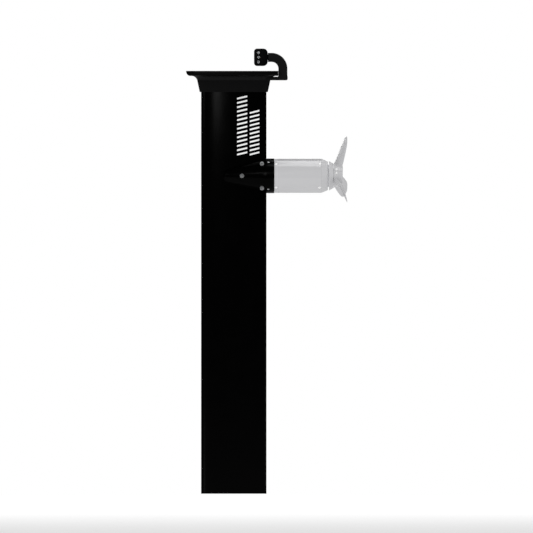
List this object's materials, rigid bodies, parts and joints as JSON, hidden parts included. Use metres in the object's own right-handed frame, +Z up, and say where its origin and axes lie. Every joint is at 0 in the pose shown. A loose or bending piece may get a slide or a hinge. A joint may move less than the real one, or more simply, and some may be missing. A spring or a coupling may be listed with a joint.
{
  "type": "electric hydrofoil mast drive",
  "caption": "Hollow foil-section mast under a board plate, with a cable elbow and terminal block, and a clamped nacelle holding a motor pod with a bladed propeller.",
  "frame": {"origin": "middle of the board plate's top face", "axes": "+Z up, out of the plate's top face; +X aft, from the mast's leading edge to the propeller, and the propeller turns about an axis along X; -Y is the port side, where the nacelle bolts' heads are"},
  "size_m": [0.3088, 0.1342, 0.8528],
  "materials": {
    "black_paint": "painted satin black",
    "black_anodised": "satin anodised aluminium",
    "black_plastic": "fine matt",
    "pale_alloy": "painted satin pale grey",
    "pale_composite": "satin pale grey",
    "stainless": "turned",
    "brass": "turned",
    "steel": "ground",
    "copper": "varnished copper wire",
    "rubber": "matt",
    "silicone": "silicone wire sleeve"
  },
  "bodies": {
    "root": {"board_plate": "black_paint", "mast_collar": "black_paint", "nacelle_port": "black_paint", "nacelle_starboard": "black_paint", "mast_extrusion": "black_anodised", "cable_duct": "black_plastic", "terminal_housing": "black_plastic", "motor_front_cap": "pale_alloy", "motor_housing": "pale_alloy", "motor_rear_cap": "pale_alloy", "plate_screw_1": "stainless", "plate_screw_2": "stainless", "terminal_screw_1": "stainless", "terminal_screw_2": "stainless", "terminal_screw_3": "stainless", "nacelle_bolt_1": "stainless", "nacelle_bolt_2": "stainless", "nacelle_bolt_3": "stainless", "motor_mount_screw_1": "stainless", "motor_mount_screw_2": "stainless", "motor_mount_screw_3": "stainless", "motor_mount_screw_4": "stainless", "motor_cap_screw_1": "stainless", "motor_cap_screw_2": "stainless", "motor_cap_screw_3": "stainless", "motor_cap_screw_4": "stainless", "motor_cap_screw_5": "stainless", "motor_cap_screw_6": "stainless", "motor_cap_screw_7": "stainless", "motor_cap_screw_8": "stainless", "phase_terminal_1": "brass", "phase_terminal_2": "brass", "phase_terminal_3": "brass", "upper_insert": "steel", "foot_insert": "steel", "stator_core": "steel", "front_bearing_outer": "steel", "rear_bearing_outer": "steel", "stator_windings": "copper", "shaft_seal": "rubber", "wire_gland": "rubber", "phase_wire_1": "silicone", "phase_wire_2": "silicone", "phase_wire_3": "silicone"},
    "rotor": {"motor_shaft": "steel", "rotor_core": "steel", "rotor_magnets": "steel", "front_bearing_inner": "steel", "rear_bearing_inner": "steel", "propeller_hub": "pale_alloy", "propeller_blade_1": "pale_composite", "propeller_blade_2": "pale_composite", "propeller_blade_3": "pale_composite", "blade_screw_1": "stainless", "blade_screw_2": "stainless", "blade_screw_3": "stainless", "blade_screw_4": "stainless", "blade_screw_5": "stainless", "blade_screw_6": "stainless", "propeller_nut": "stainless"}
  },
  "joints": [
    {"name": "propeller_spin", "type": "hinge", "parent": "root", "child": "rotor", "pos_m": [0.1854, 0, -0.201], "axis": [1, 0, 0], "continuous": true}
  ]
}
